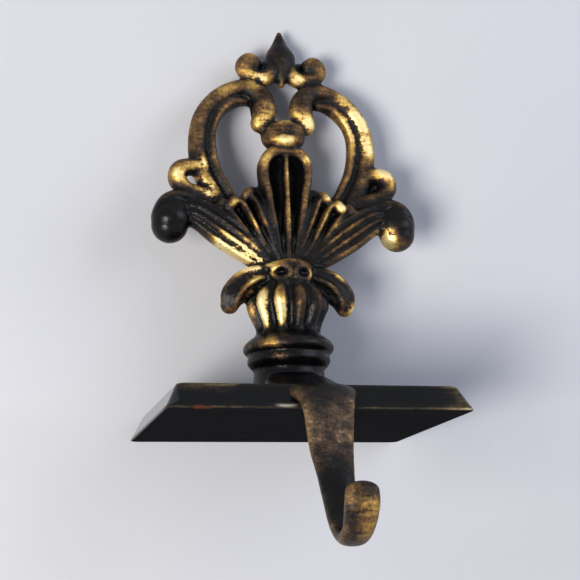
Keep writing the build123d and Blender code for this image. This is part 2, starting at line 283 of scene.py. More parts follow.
def side_forms():
    """The scroll, ear, volute, leaves and curl of the right-hand side."""
    # The big scroll: its band, the lip inside it and the flat behind the channel
    crown = route(
        (9.3, 119.6, 1.8), (7.4, 124.5, 2.4), (8.2, 129.6, 1.8), (12.0, 133.4, 0.8), (18.0, 134.0),
        (25.9, 129.6), (31.8, 121.6), (33.9, 111.5), (32.9, 101.0), (28.6, 91.5), (22.0, 82.0),
        (14.0, 71.0),
    )
    inner = route(
        (14.5, 129.0, -0.5), (19.5, 128.6, -0.5), (24.8, 124.2, -0.5), (27.9, 117.5, -0.5),
        (28.4, 110.0, -0.5), (26.6, 101.0, -0.5), (22.8, 93.0, -0.5), (17.5, 84.0, -0.5),
    )
    back = route(
        (9.0, 124.0, -1.0), (10.0, 130.2, -1.0), (17.0, 132.0, -1.6), (25.0, 127.3, -1.6),
        (30.6, 119.5, -1.6), (31.9, 110.5, -1.6), (30.4, 100.5, -1.6), (26.2, 92.0, -1.6),
        (19.0, 81.0, -1.6), (11.0, 69.0, -1.6),
    )
    forms = [
        limb(crown, [3.8, 4.9, 4.5, 3.9, 3.5, 3.5, 3.6, 3.7, 3.8, 3.7, 3.3, 2.6],
             [3.6, 4.2, 4.0, 3.7, 3.6], 120),
        limb(inner, [1.3, 1.9, 2.0, 2.0, 2.0, 1.9, 1.8, 1.4], [3.2], 90, 20),
        limb(back, [3.2, 3.8, 4.6, 4.7, 4.7, 4.7, 4.8, 4.6, 4.2, 3.0], [2.2], 100),
    ]
    # The ear outside the scroll's foot
    ear = route(
        (26.5, 88.4, 0.8), (33.0, 89.6, 1.0), (38.8, 91.2, 1.2), (42.0, 95.0, 1.2),
        (41.4, 98.8, 1.2), (38.0, 100.4, 0.8), (33.6, 100.6),
    )
    forms.append(limb(ear, [3.2, 3.3, 3.2, 3.6, 3.6, 3.3, 3.0], [3.2, 4.0, 4.6, 4.7, 4.0], 60))
    # The volute beside the spike and what fills its eye
    volute = route(
        (4.4, 148.2, 0.8), (3.5, 143.2, 1.6), (5.0, 139.8, 1.6), (8.8, 138.8, 1.0),
        (12.8, 140.2, 1.0), (14.9, 143.0, 1.4), (13.2, 145.4, 1.8), (11.2, 144.8, 1.4),
    )
    forms.append(limb(volute, [1.6, 2.7, 3.3, 3.3, 3.5, 3.8, 3.5, 3.1],
                      [2.7, 3.2, 3.0, 3.2, 3.6, 3.4], 70))
    filling = route((6.4, 143.6, -1.4), (11.6, 143.6, -1.4))
    forms.append(limb(filling, [3.6, 4.0], [2.2, 2.2], 12))
    # The outer leaf's four ribs, then its rolled end
    for offset, ahead in ((-5.0, 1.6), (-1.8, 2.9), (1.5, 2.8), (4.7, 1.7)):
        leaf = route(
            (6.5 - 0.35 * offset, 60.8 + 0.20 * offset, 1.0),
            (15.2 - 0.60 * offset, 68.3 + 0.6 * offset, ahead),
            (25.4 - 0.45 * offset, 76.0 + 0.95 * offset, ahead + 0.3),
            (35.5 - 0.10 * offset, 82.2 + 0.92 * offset, ahead + 0.6),
            (42.5, 83.0 + 0.75 * offset, 1.8),
        )
        forms.append(limb(leaf, [1.4, 1.75, 1.9, 1.9, 1.8],
                          [2.8, 3.6, 3.6, 3.2, 2.4], 60, 20, 1.6))
    lip = route((35.5, 87.0, 1.4), (41.5, 88.0, 2.2), (46.8, 86.0, 2.6), (50.2, 81.0, 2.4),
                (50.6, 76.0, 1.8))
    forms.append(limb(lip, [2.2, 2.6, 2.6, 2.0, 1.0], [3.6, 4.4, 4.4, 3.6, 2.0], 50, 28))
    ball = route((44.3, 81.9, 1.2), (44.8, 79.3, 1.6), (45.2, 76.9, 1.4))
    forms.append(limb(ball, [6.9, 7.7, 7.1], [6.6, 7.2, 6.6], 20, 36))
    # The inner leaves' ribs and the beads at their tips
    for places, width in (
        (((4.6, 63.0, 1.4), (9.3, 70.0, 3.0), (13.6, 78.5, 3.6), (17.2, 85.5, 3.6),
          (20.6, 87.6, 2.6)), 1.5),
        (((3.4, 63.0, 1.6), (6.4, 71.5, 3.4), (9.6, 80.0, 4.0), (12.8, 87.4, 3.6),
          (15.7, 90.2, 2.2)), 1.5),
        (((5.6, 62.5, 1.0), (12.2, 69.6, 2.4), (18.2, 77.4, 2.8), (22.6, 83.4, 2.6),
          (25.4, 85.8, 1.6)), 1.4),
        (((2.6, 64.0, 1.4), (4.4, 72.0, 2.6), (7.2, 80.0, 3.0), (10.2, 86.0, 2.8),
          (11.8, 90.0, 1.6)), 1.2),
    ):
        forms.append(limb(route(*places), [1.2, width, width, width, 1.4],
                          [2.4, 3.2, 3.2, 2.8, 1.8], 50, 20, 1.6))
    for x, z, size in ((21.6, 86.0, 2.5), (15.6, 89.6, 2.3), (26.0, 85.6, 1.8)):
        forms.append(limb(route((x - 0.9, z + 0.7, 3.4), (x + 0.5, z - 0.9, 4.0)),
                          [size, 0.85 * size], [size, size], 8, 16))
    # The webs that close the fan behind the ribs
    web = route((12.0, 66.0, -0.8), (24.0, 75.0, -0.8), (34.0, 81.6, -0.6), (41.5, 82.5, -0.4))
    forms.append(limb(web, [3.4, 5.6, 5.6, 5.0], [1.9], 40, 28))
    web = route((5.0, 62.0, -1.2), (12.0, 71.0, -1.2), (19.0, 80.0, -1.2), (25.0, 86.5, -1.2))
    forms.append(limb(web, [5.0, 7.6, 9.2, 7.4], [2.0, 2.2, 2.2, 2.0], 40, 28))
    web = route((4.0, 66.0, -1.2), (6.5, 76.0, -1.2), (9.5, 86.0, -1.2), (12.5, 91.0, -1.2))
    forms.append(limb(web, [4.0, 5.6, 5.6, 3.6], [2.0, 2.2, 2.2, 2.0], 40, 28))
    # The drooping leaf beside the whorl, with two ribs
    curl = route((5.0, 58.0, 1.4), (12.5, 56.2, 1.6), (17.8, 53.6, 1.6), (21.2, 50.0, 1.4),
                 (22.6, 46.6, 0.8))
    forms.append(limb(curl, [3.4, 4.8, 5.2, 5.0, 3.6], [4.2, 4.4, 4.3, 3.9, 3.0], 50, 24))
    for places, width in (
        (((6.0, 60.2, 3.4), (13.5, 59.9, 4.2), (20.0, 57.0, 4.2), (24.6, 51.6, 3.2),
          (25.4, 46.6, 1.8)), 1.4),
        (((6.5, 57.4, 4.6), (12.5, 55.8, 5.5), (17.4, 52.6, 5.4), (20.4, 48.4, 4.4),
          (21.2, 44.8, 2.4)), 1.2),
    ):
        forms.append(limb(route(*places), [1.0, width, width, width, 0.9],
                          [1.6, 1.8, 1.8, 1.5, 1.0], 40, 16))
    return forms


def ear_web():
    """The thin skin of metal that closes the right ear's eye and not the left one's."""
    return limb(route((34.0, 95.4, -1.6), (37.8, 95.8, -1.6)), [3.0, 3.0], [1.5, 1.5], 12)


def middle_forms():
    """The bead, tablet, spike, collar and stem on the axis."""
    forms = []
    # The spike, and the bead with its two bands
    spike = route((0.0, 136.8, 1.0), (0.0, 141.0, 1.4), (0.0, 145.6, 1.6), (0.0, 149.4, 1.0),
                  (0.0, 154.0), (0.0, 158.7))
    forms.append(limb(spike, [1.4, 3.6, 5.7, 5.9, 3.3, 1.2],
                      [2.4, 3.4, 4.2, 3.8, 2.6, 1.2], 50, 24, 1.6))
    bead = route((-3.2, 114.8, 1.6), (3.2, 114.8, 1.6))
    forms.append(limb(bead, [5.7, 5.7], [6.0, 6.0], 12, 28, 2.2))
    band = route((-4.4, 112.2, 4.6), (0.0, 111.2, 6.4), (4.4, 112.2, 4.6))
    forms.append(limb(band, [2.4, 2.7, 2.4], [2.8, 3.2, 2.8], 20, 20))
    band = route((-3.8, 117.8, 3.4), (0.0, 118.3, 4.8), (3.8, 117.8, 3.4))
    forms.append(limb(band, [2.0, 2.3, 2.0], [2.8, 3.0, 2.8], 20, 20))
    # The tablet: its floor, the rim and wall of each side, and the middle rib
    back = route((0.0, 64.0, -0.5), (0.0, 80.0, -0.5), (0.0, 92.0, -0.5), (0.0, 102.5, -0.5))
    forms.append(limb(back, [4.4, 6.6, 8.4, 8.6], [3.0, 3.2, 3.4, 3.4], 40, 28, 3.0))
    for hand in (1, -1):
        rim = route((0.0, 108.2, 4.4), (hand * 5.2, 107.0, 4.4), (hand * 8.3, 103.0, 4.0),
                    (hand * 8.5, 97.0, 4.0), (hand * 7.3, 90.0, 4.2), (hand * 6.4, 83.5, 4.2),
                    (hand * 4.6, 74.0, 3.8), (hand * 3.0, 65.0, 2.6))
        forms.append(limb(rim, [2.4, 2.4, 2.3, 2.0, 1.9, 1.8, 1.7, 1.5],
                          [2.8, 2.8, 2.8, 2.6], 80, 18))
        wall = route((hand * 4.5, 107.0, 1.5), (hand * 8.2, 102.5, 1.5), (hand * 8.1, 96.0, 1.5),
                     (hand * 6.9, 88.0, 1.5), (hand * 6.0, 80.0, 1.5))
        forms.append(limb(wall, [2.4], [4.0], 50, 18))
    rib = route((0.0, 105.0, 3.6), (0.0, 98.0, 4.0), (0.0, 88.0, 4.4), (0.0, 76.0, 4.4),
                (0.0, 65.0, 3.4))
    forms.append(limb(rib, [1.2, 1.25, 1.3, 1.6, 1.5], [2.8], 60, 18))
    # The collar: a wavy ring and two small rings in front
    collar = [(9.6 * math.sin(a), STEM_Y - 9.6 * math.cos(a), 61.4 + 0.5 * math.cos(3 * a))
              for a in np.linspace(-1.7, 1.7, 15)]
    forms.append(limb(collar, [1.5], [1.5], 60, 16, 2.0, (0.0, 0.0, 1.0)))
    for hand in (1, -1):
        a = np.linspace(0, 2 * math.pi, 13)
        x = hand * 4.1 + 3.1 * np.cos(a)
        ring = list(zip(x, 57.9 + 2.5 * np.sin(a), 10.0 - 0.055 * x * x))
        forms.append(limb(route(*ring), [1.35], [1.5], 60, 16))
    # The stem from below: flared foot, two rings, fluted whorl and dome
    profile = np.vstack([
        curve_through([(16.4, 6.0), (16.0, 10.5), (14.8, 14.0), (13.5, 18.5), (13.3, 22.0)], 24),
        curve_through([(14.6, 23.0), (15.8, 24.8), (15.5, 26.6)], 10),
        curve_through([(15.2, 27.4), (16.8, 28.7), (17.3, 30.2), (16.6, 31.8), (14.6, 33.6),
                       (12.8, 34.8)], 30),
        curve_through([(12.2, 36.0), (13.0, 39.0), (14.6, 42.6), (15.9, 45.8), (15.5, 49.2),
                       (12.6, 52.8), (9.9, 55.6)],
                      40),
        curve_through([(9.2, 58.6), (8.4, 61.0), (6.4, 63.0), (3.6, 64.2), (0.8, 64.6)], 16),
    ])
    forms.append(turned(profile, flutes=(11, 34.8, 55.5, 0.22)))
    return forms


def arm_forms():
    """The strap from the stem over the plate's front edge, and its hook."""
    outer = [(0.0, 1.0, 17.0), (0.0, -8.0, 14.6), (0.0, -17.0, 11.4), (0.0, -28.0, 8.2),
             (0.0, -38.0, 6.8), (0.0, -44.5, 4.0), (0.0, -47.5, -1.0), (0.0, -48.2, -8.0),
             (0.0, -49.4, -15.0), (0.0, -52.8, -23.0), (0.0, -56.4, -32.0), (0.0, -61.0, -40.5),
             (0.0, -68.5, -44.5), (0.0, -76.0, -42.0), (0.0, -80.4, -35.6), (0.0, -81.3, -31.0)]
    thick = [3.4, 4.2, 3.9, 3.5, 3.2, 3.1, 3.0, 3.0, 3.0, 3.0, 3.0, 3.0, 3.0, 3.0, 3.1, 3.0]
    half = [8.0, 12.4, 14.0, 14.0, 13.0, 10.6, 9.0, 8.3, 7.6, 6.5, 5.7, 5.1, 4.8, 5.2, 5.8, 5.5]
    return [limb(outer, thick, half, 150, 40, 2.5, (1.0, 0.0, 0.0))]


# Nodes and colours

def linear(code):
    """Turns an sRGB hex colour into linear values with an alpha of 1."""
    parts = [int(code[i:i + 2], 16) / 255 for i in (1, 3, 5)]
    light = [c / 12.92 if c <= 0.04045 else ((c + 0.055) / 1.055) ** 2.4 for c in parts]
    return tuple(light) + (1.0,)


def node(tree, kind, settings=None, **inputs):
    """Adds one node and sets its properties and inputs, linking those that are sockets.

    An input is named by its label with _ for a space, or by i and its number.
    """
    made = tree.nodes.new(kind)
    for key, value in (settings or {}).items():
        setattr(made, key, value)
    for key, value in inputs.items():
        numbered = key[0] == "i" and key[1:].isdigit()
        socket = made.inputs[int(key[1:]) if numbered else key.replace("_", " ")]
        if isinstance(value, bpy.types.NodeSocket):
            tree.links.new(value, socket)
        else:
            socket.default_value = value
    return made


# The camera looks at the plate from the left and from below, as in the photograph.
CAMERA_FOCAL_PIXELS = 1352.4
IMAGE_SIZE = 580.0
CAMERA_TURN = -0.258
CAMERA_RISE = -0.238
CAMERA_ROLL = -0.031
CAMERA_AIM = (1.305, 50.821, 501.439)
SENSOR_WIDTH = 36.0

# In metres: the table passes under the plate's lower back edge and the back of the spike
TABLE_LOW, TABLE_HIGH = (0.0, 0.0445, 0.0), (0.0, 0.0095, 0.158)
TABLE_HALF_SIZE, TABLE_RISE, TABLE_GAP = 2.5, 0.05, 0.0005
TABLE_FADE_START, TABLE_FADE_END = 0.24, 0.42

# The key lamp stands at the lower left front, as the photograph's highlights show
LAMP_AIM = (0.0, 0.0, 0.08)
WINDOW_PLACE, WINDOW_SIZE = (-0.85, -1.00, -0.45), 0.5
FILL_PLACE, FILL_SIZE = (1.00, -0.95, 0.40), 1.0
ROOM_STRENGTH, BACKGROUND_STRENGTH = 0.30, 1.0


def camera_matrix():
    """The camera's place from its turn, rise and roll and the origin's place before it."""
    right = np.array([math.cos(CAMERA_TURN), math.sin(CAMERA_TURN), 0.0])
    back = np.array([math.sin(CAMERA_TURN) * math.cos(CAMERA_RISE),
                     -math.cos(CAMERA_TURN) * math.cos(CAMERA_RISE), math.sin(CAMERA_RISE)])
    up = np.cross(back, right)
    c, s = math.cos(CAMERA_ROLL), math.sin(CAMERA_ROLL)
    rows = np.array([c * right + s * up, s * right - c * up, -back])
    place = -rows.T @ np.array(CAMERA_AIM) * MM
    turn = np.column_stack([rows[0], -rows[1], -rows[2]])
    matrix = np.eye(4)
    matrix[:3, :3] = turn
    matrix[:3, 3] = place
    return Matrix(matrix.tolist())


def build_stage(scene):
    """Camera, table, world and lamps."""
    data = bpy.data.cameras.new("photo_camera")
    data.sensor_width = SENSOR_WIDTH
    data.lens = CAMERA_FOCAL_PIXELS * SENSOR_WIDTH / IMAGE_SIZE
    camera = bpy.data.objects.new("photo_camera", data)
    camera.matrix_world = camera_matrix()
    scene.collection.objects.link(camera)
    scene.camera = camera
    scene.view_settings.view_transform = "Standard"

    low, high = Vector(TABLE_LOW), Vector(TABLE_HIGH)
    along = (high - low).normalized()
    out = Vector((0.0, -along.z, along.y))
    across = Vector((1.0, 0.0, 0.0))
    middle = low + along * TABLE_RISE - out * TABLE_GAP
    corners = [middle + across * (TABLE_HALF_SIZE * i) + along * (TABLE_HALF_SIZE * j)
               for i, j in ((-1, -1), (1, -1), (1, 1), (-1, 1))]
    mesh = bpy.data.meshes.new("table")
    mesh.from_pydata([tuple(c) for c in corners], [], [(0, 1, 2, 3)])
    mesh.update()
    table = bpy.data.objects.new("table", mesh)
    scene.collection.objects.link(table)
    mesh.materials.append(table_material(scene.stocking_hook.table_colour))

    world = bpy.data.worlds.new("pale_room")
    scene.world = world
    world.use_nodes = True
    tree = world.node_tree
    tree.nodes.clear()
    room = node(tree, "ShaderNodeBackground", Color=linear("#c9ced6"), Strength=ROOM_STRENGTH)
    seen = node(tree, "ShaderNodeBackground", Color=linear("#dfe1e6"),
                Strength=BACKGROUND_STRENGTH)
    path = node(tree, "ShaderNodeLightPath")
    # The pale background is what the camera, the metal and glass see; it adds no light elsewhere
    looks = path.outputs["Is Camera Ray"]
    for ray in ("Is Glossy Ray", "Is Transmission Ray"):
        looks = node(tree, "ShaderNodeMath", {"operation": "ADD", "use_clamp": True}, i0=looks,
                     i1=path.outputs[ray]).outputs[0]
    mix = node(tree, "ShaderNodeMixShader", i0=looks, i1=room.outputs[0], i2=seen.outputs[0])
    node(tree, "ShaderNodeOutputWorld", Surface=mix.outputs[0])

    settings = scene.stocking_hook
    lamp("window_lamp", WINDOW_PLACE, LAMP_AIM, WINDOW_SIZE, settings.window_power, "#fff9f0")
    lamp("fill_lamp", FILL_PLACE, LAMP_AIM, FILL_SIZE, settings.fill_power, "#e4ebff")


def lamp(name, place, aim, size, power, code):
    """A square area lamp turned towards a point."""
    data = bpy.data.lights.new(name, "AREA")
    data.shape = "SQUARE"
    data.size = size
    data.energy = power
    data.color = linear(code)[:3]
    made = bpy.data.objects.new(name, data)
    direction = Vector(aim) - Vector(place)
    turn = direction.to_track_quat("-Z", "Y").to_matrix().to_4x4()
    made.matrix_world = Matrix.Translation(place) @ turn
    bpy.context.scene.collection.objects.link(made)


def table_material(colour):
    """Painted tabletop, sprayed semi-matt: a pale grey with a faint bluish cloudiness."""
    material = bpy.data.materials.new("painted_tabletop_sprayed")
    material.use_nodes = True
    tree = material.node_tree
    tree.nodes.clear()
    place = node(tree, "ShaderNodeTexCoord")
    cloud = node(tree, "ShaderNodeTexNoise", Vector=place.outputs["Object"], Scale=6.0, Detail=2.0)
    ramp = node(tree, "ShaderNodeValToRGB", Fac=cloud.outputs["Fac"])
    ramp.color_ramp.elements[0].color = linear("#c3c7d0")
    ramp.color_ramp.elements[1].color = colour
    paint = node(tree, "ShaderNodeBsdfPrincipled", Base_Color=ramp.outputs[0], Roughness=0.45)
    # From behind and far from the object the table clears, so that it hides nothing
    clear = node(tree, "ShaderNodeBsdfTransparent")
    facing = node(tree, "ShaderNodeNewGeometry")
    far = node(tree, "ShaderNodeVectorMath", {"operation": "LENGTH"}, i0=place.outputs["Object"])
    fade = node(tree, "ShaderNodeMapRange", {"interpolation_type": "SMOOTHSTEP"},
                Value=far.outputs["Value"], From_Min=TABLE_FADE_START, From_Max=TABLE_FADE_END)
    gone = node(tree, "ShaderNodeMath", {"operation": "MAXIMUM"}, i0=facing.outputs["Backfacing"],
                i1=fade.outputs[0])
    mix = node(tree, "ShaderNodeMixShader", i0=gone.outputs[0], i1=paint.outputs[0],
               i2=clear.outputs[0])
    node(tree, "ShaderNodeOutputMaterial", Surface=mix.outputs[0])
    return material


def add_up(tree, start, *terms):
    """Adds weighted values to a start number: each term is a socket, its factor and its middle."""
    total = start
    for value, factor, middle in terms:
        shifted = node(tree, "ShaderNodeMath", {"operation": "MULTIPLY_ADD"}, i0=value, i1=factor,
                       i2=-factor * middle)
        total = node(tree, "ShaderNodeMath", {"operation": "ADD"}, i0=total,
                     i1=shifted.outputs[0]).outputs[0]
    return total


def colour_ramp(tree, value, stops):
    """A colour ramp from (place, hex colour) stops."""
    made = node(tree, "ShaderNodeValToRGB", Fac=value)
    elements = made.color_ramp.elements
    while len(elements) < len(stops):
        elements.new(0.5)
    for element, (place, code) in zip(elements, stops):
        element.position = place
        element.color = linear(code)
    return made


def attribute(tree, name):
    """Reads a number that was stored at the vertices."""
    return node(tree, "ShaderNodeAttribute", {"attribute_name": name}).outputs["Fac"]


def cast_finish(amount):
    """Cast metal under a black-brown lacquer, with gold rubbed on and worn to the high parts.

    One rub value runs from black hollows over brown patina and dull bronze to pale gold.
    It grows with the height of the surface above its surroundings and with the zones that
    the hand rubbed, and is broken up by streaks and specks.
    """
    material = bpy.data.materials.new("cast_metal_black_lacquer_gold_rubbed")
    material.use_nodes = True
    tree = material.node_tree
    tree.nodes.clear()
    place = node(tree, "ShaderNodeTexCoord").outputs["Object"]
    specks = node(tree, "ShaderNodeTexNoise", Vector=place, Scale=950.0, Detail=5.0,
                  Roughness=0.65).outputs["Fac"]
    patches = node(tree, "ShaderNodeTexNoise", Vector=place, Scale=190.0, Detail=4.0,
                   Roughness=0.6).outputs["Fac"]
    stretched = node(tree, "ShaderNodeMapping", Vector=place,
                     Scale=(260.0, 260.0, 900.0)).outputs[0]
    streaks = node(tree, "ShaderNodeTexNoise", Vector=stretched, Scale=1.0, Detail=4.0,
                   Roughness=0.6).outputs["Fac"]
    proud, brown, wrinkled, smooth, dark_panel = (
        attribute(tree, name) for name in ("proud", "brown", "rough", "smooth", "dark_panel"))
    # The brush skips: the gold lies in broken dabs
    pressed = add_up(tree, 0.5, (specks, 0.55, 0.5), (streaks, 0.7, 0.5), (patches, 0.9, 0.5),
                     (proud, 0.9, 0.55))
    dabs = node(tree, "ShaderNodeMapRange", {"interpolation_type": "SMOOTHSTEP"}, Value=pressed,
                From_Min=0.36, From_Max=0.60, To_Min=0.25)
    gold = node(tree, "ShaderNodeMath", {"operation": "MULTIPLY"}, i0=attribute(tree, "gold"),
                i1=dabs.outputs[0])
    # The smooth spots (black lacquer, with painted shade on the strap's shadowed stretch) and the
    # darker recessed tablet panels press the rub down towards black
    rub = add_up(tree, 0.14, (proud, 0.95, 0.5), (gold.outputs[0], amount, 0.0),
                 (brown, 0.26, 0.0), (smooth, -0.30, 0.0), (dark_panel, -0.30, 0.0),
                 (wrinkled, 0.09, 0.0), (patches, 0.70, 0.5), (specks, 0.40, 0.5),
                 (streaks, 0.35, 0.5))
    tint = colour_ramp(tree, rub, [
        (0.0, "#050506"), (0.24, "#0b0a09"), (0.36, "#1b1611"), (0.48, "#3a2b1e"),
        (0.60, "#5f482f"), (0.72, "#91713f"), (0.86, "#c7a458"), (1.0, "#eed79a")])
    metallic = node(tree, "ShaderNodeMapRange", Value=rub, From_Min=0.50, From_Max=0.80,
                    To_Min=0.0, To_Max=0.85)
    rough = add_up(tree, 0.34, (rub, 0.10, 0.2), (specks, 0.25, 0.5), (brown, 0.16, 0.0),
                   (smooth, -0.14, 0.0), (dark_panel, 0.40, 0.0))
    shine = add_up(tree, 0.16, (dark_panel, -0.14, 0.0))
    relief = add_up(tree, 0.0, (patches, 0.8, 0.5), (specks, 0.5, 0.5), (streaks, 0.6, 0.5))
    calm = add_up(tree, 0.50, (smooth, -0.42, 0.0), (wrinkled, 0.50, 0.0))
    # On the arm the patina is greyer than on the ornament
    greyer = add_up(tree, 1.0, (wrinkled, -0.26, 0.0))
    tint = node(tree, "ShaderNodeHueSaturation", Color=tint.outputs[0], Saturation=greyer)
    bump = node(tree, "ShaderNodeBump", Height=relief, Strength=calm, Distance=0.0007)
    shader = node(tree, "ShaderNodeBsdfPrincipled", Base_Color=tint.outputs[0],
                  Metallic=metallic.outputs[0], Roughness=rough, Specular_IOR_Level=shine,
                  Normal=bump.outputs[0])
    node(tree, "ShaderNodeOutputMaterial", Surface=shader.outputs[0])
    return material


def plate_finish():
    """Cast metal under black gloss lacquer: blue-black, scuffed in fine short lines, with
    olive-brown rub at the edges, which along the top and lower front edges is partly a painted
    edge highlight, one bare rust-orange spot and a painted pale highlight on the lower front edge
    left of the arm.
    """
    material = bpy.data.materials.new("cast_metal_black_lacquer_scuffed")
    material.use_nodes = True
    tree = material.node_tree
    tree.nodes.clear()
    place = node(tree, "ShaderNodeTexCoord").outputs["Object"]
    specks = node(tree, "ShaderNodeTexNoise", Vector=place, Scale=700.0, Detail=5.0,
                  Roughness=0.65).outputs["Fac"]
    patches = node(tree, "ShaderNodeTexNoise", Vector=place, Scale=140.0, Detail=4.0,
                   Roughness=0.6).outputs["Fac"]
    stretched = node(tree, "ShaderNodeMapping", Vector=place,
                     Scale=(110.0, 110.0, 900.0)).outputs[0]
    scuffs = node(tree, "ShaderNodeTexNoise", Vector=stretched, Scale=1.0, Detail=5.0,
                  Roughness=0.7).outputs["Fac"]
    # Rubbed lacquer lightens the colour; along the top and lower front edges this is partly a
    # painted edge highlight
    wear_and_edge_highlight = add_up(tree, 0.12, (attribute(tree, "worn"), 0.75, 0.0), (patches, 0.40, 0.5),
                  (specks, 0.30, 0.5), (scuffs, 0.75, 0.5))
    tint = colour_ramp(tree, wear_and_edge_highlight, [
        (0.0, "#07080b"), (0.30, "#0c0d10"), (0.46, "#231e18"), (0.62, "#4c4130"),
        (0.80, "#7a6a4c"), (1.0, "#b3a888")])
    rust_fac = add_up(tree, 0.0, (attribute(tree, "rust"), 1.4, 0.0), (specks, 1.2, 0.5))
    rust_on = node(tree, "ShaderNodeMapRange", Value=rust_fac, From_Min=0.45, From_Max=0.75)
    colour = node(tree, "ShaderNodeMixRGB", Fac=rust_on.outputs[0], Color1=tint.outputs[0],
                  Color2=linear("#54291b"))
    # The bare value is a painted highlight: a pale arc on the lower front edge, mixed in as a pale
    # colour
    bare = attribute(tree, "bare")
    colour = node(tree, "ShaderNodeMixRGB", Fac=bare, Color1=colour.outputs[0],
                  Color2=linear("#cfc6b2"))
    # The underside is dull and black, and the left bevel is smooth and mirrors the pale room
    under = attribute(tree, "under")
    sleek = attribute(tree, "sleek")
    rough = add_up(tree, 0.24, (specks, 0.30, 0.5), (attribute(tree, "worn"), 0.25, 0.0),
                   (under, 0.62, 0.0), (sleek, -0.13, 0.0))
    calm = add_up(tree, 0.35, (sleek, -0.31, 0.0))
    shine = add_up(tree, 0.15, (under, -0.13, 0.0), (sleek, 0.30, 0.0))
    relief = add_up(tree, 0.0, (patches, 0.6, 0.5), (specks, 0.4, 0.5), (scuffs, 0.5, 0.5))
    bump = node(tree, "ShaderNodeBump", Height=relief, Strength=calm, Distance=0.0005)
    shader = node(tree, "ShaderNodeBsdfPrincipled", Base_Color=colour.outputs[0], Roughness=rough,
                  Specular_IOR_Level=shine, Normal=bump.outputs[0])
    node(tree, "ShaderNodeOutputMaterial", Surface=shader.outputs[0])
    return material


def blobs(places, spots):
    """Sum of soft round spots seen from the front.

    Each spot adds k exp(-((x - cx)^2 + (z - cz)^2 + 0.3 (y - cy)^2) / r^2).
    """
    total = np.zeros(len(places))
    for x, y, z, radius, strength in spots:
        far = (places[:, 0] - x) ** 2 + (places[:, 2] - z) ** 2 + 0.3 * (places[:, 1] - y) ** 2
        total += strength * np.exp(-far / radius**2)
    return total


# Where gold, brown patina, rust, wrinkles, darker recessed tablet panels, and black lacquer with
# painted shade on the strap's shadowed stretch show in the photograph:
# x, y, z, radius and strength
GOLD_SPOTS = [
    (-37.0, 0.0, 96.0, 4.0, 0.6), (-30.5, 0.0, 91.0, 5.0, 1.0), (-32.0, 0.0, 102.0, 3.6, 0.8),
    (-43.0, 0.0, 96.0, 3.0, 0.6), (30.0, 0.0, 122.0, 5.5, 0.9), (33.0, 0.0, 112.0, 5.5, 0.7),
    (25.0, 0.0, 129.0, 4.0, 0.5), (-22.0, 0.0, 132.0, 5.0, 0.3), (9.5, 0.0, 119.5, 3.2, 0.9),
    (5.5, 0.0, 123.0, 3.0, 0.4), (-8.5, 0.0, 120.0, 3.5, 0.6), (-6.0, 0.0, 125.0, 3.0, 0.3),
    (-1.0, 0.0, 111.5, 4.5, 0.7), (-19.0, 0.0, 65.5, 6.5, 1.1), (-13.0, 0.0, 62.5, 5.5, 1.1),
    (-26.0, 0.0, 70.5, 4.5, 0.8), (-13.0, -8.0, 47.0, 6.0, 1.1), (-9.0, -8.0, 40.0, 5.0, 1.0),
    (-3.5, -8.0, 43.0, 3.6, 0.8), (-15.0, -4.0, 55.0, 4.0, 0.3), (0.0, -5.0, 56.5, 2.4, 0.45),
    (-7.0, -5.0, 58.0, 2.6, 0.4), (7.0, -5.0, 57.0, 2.6, 0.55), (-2.0, -5.0, 61.5, 3.0, 0.35),
    (25.0, 0.0, 45.5, 3.0, 0.7), (18.0, -2.0, 57.0, 3.0, 0.5), (39.3, 0.0, 73.2, 4.6, 1.4),
    (40.0, 0.0, 101.5, 3.4, 0.9), (21.5, -2.0, 86.0, 2.4, 0.6), (16.0, -2.0, 89.0, 2.2, 0.4),
    (-11.0, 0.0, 137.0, 4.0, 0.7), (-7.5, 0.0, 138.0, 3.0, 0.5), (6.5, 0.0, 138.5, 3.5, 0.8),
    (8.0, 0.0, 104.0, 2.0, 0.7), (-11.0, -10.0, 30.5, 3.6, 0.4), (-7.0, -10.0, 25.8, 3.2, 0.5),
    (1.5, -84.0, -37.0, 4.0, 0.4), (1.5, -78.0, -44.0, 3.4, 0.3), (0.5, -84.0, -32.5, 2.6, 0.15),
    (-13.0, -2.0, 77.0, 3.0, 0.3), (-20.0, -2.0, 86.0, 2.6, 0.5), (-8.5, 0.0, 104.0, 3.0, 0.5),
    (0.0, 0.0, 98.0, 3.0, 0.2),
]
BROWN_SPOTS = [
    (1.0, -50.0, -5.0, 11.0, 1.0), (1.0, -50.0, -12.0, 6.0, 0.7), (20.0, 0.0, 75.0, 14.0, 0.9),
    (-27.0, 0.0, 130.0, 9.0, 0.9), (-36.0, 0.0, 115.0, 8.0, 0.8), (30.0, 0.0, 108.0, 14.0, 0.8),
    (20.0, 0.0, 130.0, 9.0, 0.7), (14.0, 0.0, 142.0, 8.0, 0.8), (-14.0, 0.0, 142.0, 8.0, 0.8),
    (0.0, 0.0, 116.0, 7.0, 0.9), (0.0, 0.0, 100.0, 11.0, 0.5), (0.0, -80.0, -38.0, 10.0, 0.6),
    (38.0, 0.0, 95.0, 8.0, 0.6), (-38.0, 0.0, 96.0, 8.0, 0.5), (9.0, 0.0, 122.0, 6.0, 0.6),
    (-9.0, 0.0, 124.0, 6.0, 0.7),
]
RUST_SPOTS = [(-44.5, -43.5, 0.1, 1.2, 0.9), (-42.4, -43.5, 0.1, 1.1, 0.85),
              (-40.2, -43.4, 0.1, 1.0, 0.7)]
ARM_SPOTS = [(0.0, -44.0, 6.0, 9.0, 0.9), (0.0, -50.0, -6.0, 11.0, 1.0),
             (0.0, -52.0, -18.0, 7.0, 0.5)]
# Spots that make the tablet's recessed panels darker, rougher and less shiny
DARK_PANEL_SPOTS = [(side * x, 1.0, z, 3.0, 1.0) for side in (-1, 1)
              for x, z in ((3.2, 85), (3.8, 90), (4.2, 95), (4.6, 100), (4.0, 103.5))]
